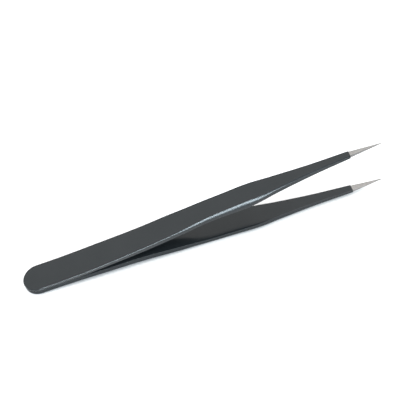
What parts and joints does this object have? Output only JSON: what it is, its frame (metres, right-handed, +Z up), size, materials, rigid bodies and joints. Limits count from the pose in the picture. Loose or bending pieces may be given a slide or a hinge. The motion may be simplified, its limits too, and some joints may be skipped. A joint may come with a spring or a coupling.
{
  "type": "straight fine-point tweezers",
  "caption": "Straight tweezers with two tapered spring blades welded at a rounded tail, a black coating, ground edge facets and bare steel needle tips.",
  "frame": {"origin": "on the surface that the tweezers lie on, under the middle of their length and width", "axes": "+X from the rounded tail towards the tips, +Y across the blades, +Z up through the gap between the arms, away from the surface that the lower arm lies on"},
  "size_m": [0.1253, 0.0102, 0.0208],
  "materials": {
    "blade_steel": "fine lengthwise grind, satin",
    "coating": "black epoxy coating, satin with a very fine texture",
    "weld_metal": "as-welded"
  },
  "bodies": {
    "tail": {"upper_blade_root": "blade_steel", "lower_blade_root": "blade_steel", "upper_coating_root": "coating", "lower_coating_root": "coating", "spot_weld_rear": "weld_metal", "spot_weld_front": "weld_metal"},
    "upper_arm": {"upper_blade_arm": "blade_steel", "upper_coating_arm": "coating"},
    "lower_arm": {"lower_blade_arm": "blade_steel", "lower_coating_arm": "coating"}
  },
  "joints": [
    {"name": "upper_arm_flex", "type": "hinge", "parent": "tail", "child": "upper_arm", "pos_m": [-0.02876, 0, 0.00578], "axis": [0, 1, 0], "range_deg": [0, 5.6], "stiffness_Nm_per_rad": 0.8},
    {"name": "lower_arm_flex", "type": "hinge", "parent": "tail", "child": "lower_arm", "pos_m": [-0.02847, 0, 0.00225], "axis": [0, -1, 0], "range_deg": [0, 5.6], "stiffness_Nm_per_rad": 0.8}
  ]
}
